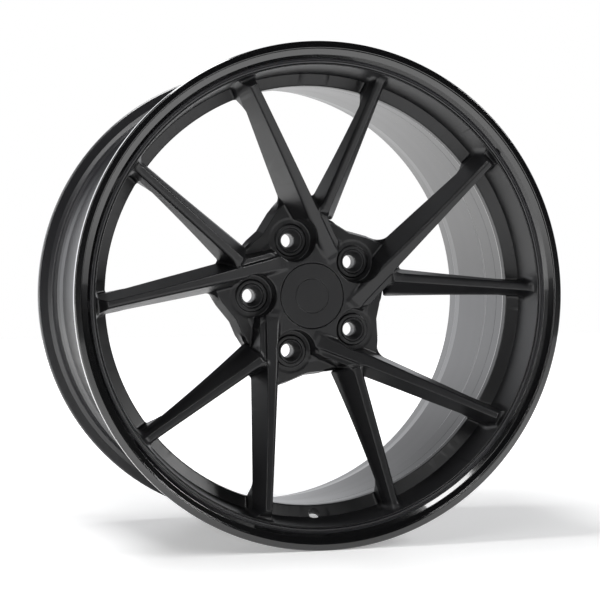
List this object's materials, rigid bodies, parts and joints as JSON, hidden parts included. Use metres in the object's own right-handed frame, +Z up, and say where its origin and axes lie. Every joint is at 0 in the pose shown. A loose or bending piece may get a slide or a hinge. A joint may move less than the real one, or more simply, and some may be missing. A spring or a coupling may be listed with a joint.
{
  "type": "forged racing wheel rim",
  "caption": "Forged black racing wheel with paired slanting spokes, welded outer lip and barrel, pressed lug seats and a snap-in centre cap.",
  "frame": {"origin": "the wheel's centre: on the axle line, half way between the two flange faces", "axes": "+Y along the axle, away from the front face and towards the car; +Z up; +X to the right as seen from the front"},
  "size_m": [0.5478, 0.2868, 0.5478],
  "materials": {
    "satin_black_disc": "satin black powder coat over a forged and milled alloy disc",
    "gloss_black_lip": "polished gloss black over a rolled and turned alloy lip",
    "satin_black_barrel": "satin black paint over a spun and turned barrel",
    "weld_bead": "bare ripple of a TIG weld",
    "black_steel": "black oxide steel",
    "cap_black": "satin black moulded cap",
    "nylon": "black glass-filled nylon",
    "spring_steel": "bright drawn spring wire",
    "seal_rubber": "matte black rubber cord"
  },
  "bodies": {
    "wheel": {"centre_disc": "satin_black_disc", "outer_lip": "gloss_black_lip", "inner_barrel": "satin_black_barrel", "barrel_weld": "weld_bead", "disc_weld": "weld_bead", "lug_seat_1": "black_steel", "lug_seat_2": "black_steel", "lug_seat_3": "black_steel", "lug_seat_4": "black_steel", "lug_seat_5": "black_steel"},
    "cap": {"cap_plate": "cap_black", "cap_clip": "nylon", "cap_spring_ring": "spring_steel", "cap_seal": "seal_rubber"}
  },
  "joints": [
    {"name": "cap_pull", "type": "slide", "parent": "wheel", "child": "cap", "axis": [0, -1, 0], "range_m": [0, 0.09]}
  ]
}
